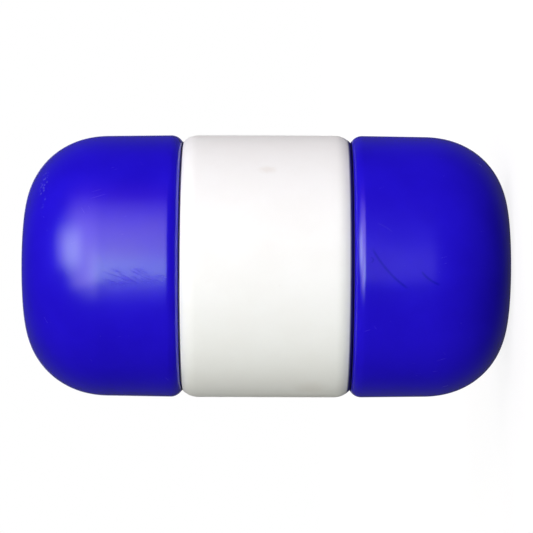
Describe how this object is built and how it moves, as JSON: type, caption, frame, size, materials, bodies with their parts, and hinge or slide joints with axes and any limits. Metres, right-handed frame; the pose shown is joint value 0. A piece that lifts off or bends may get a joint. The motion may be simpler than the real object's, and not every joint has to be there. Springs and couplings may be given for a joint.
{
  "type": "rope float",
  "caption": "Hollow barrel-shaped float with blue rounded end caps, a white centre band and a rope hole from end to end, for marking out water with a float line.",
  "frame": {"origin": "centre of the lower end face, on the axis of the rope hole, with the float standing on that end", "axes": "+Z along the rope hole towards the upper end cap; the float is round, so +X and +Y are free"},
  "size_m": [0.127, 0.127, 0.233],
  "materials": {
    "blue_plastic": "satin",
    "white_plastic": "satin",
    "tube_plastic": "satin"
  },
  "bodies": {
    "root": {"lower_end_cap": "blue_plastic", "centre_band": "white_plastic", "upper_end_cap": "blue_plastic", "rope_tube": "tube_plastic"}
  },
  "joints": []
}
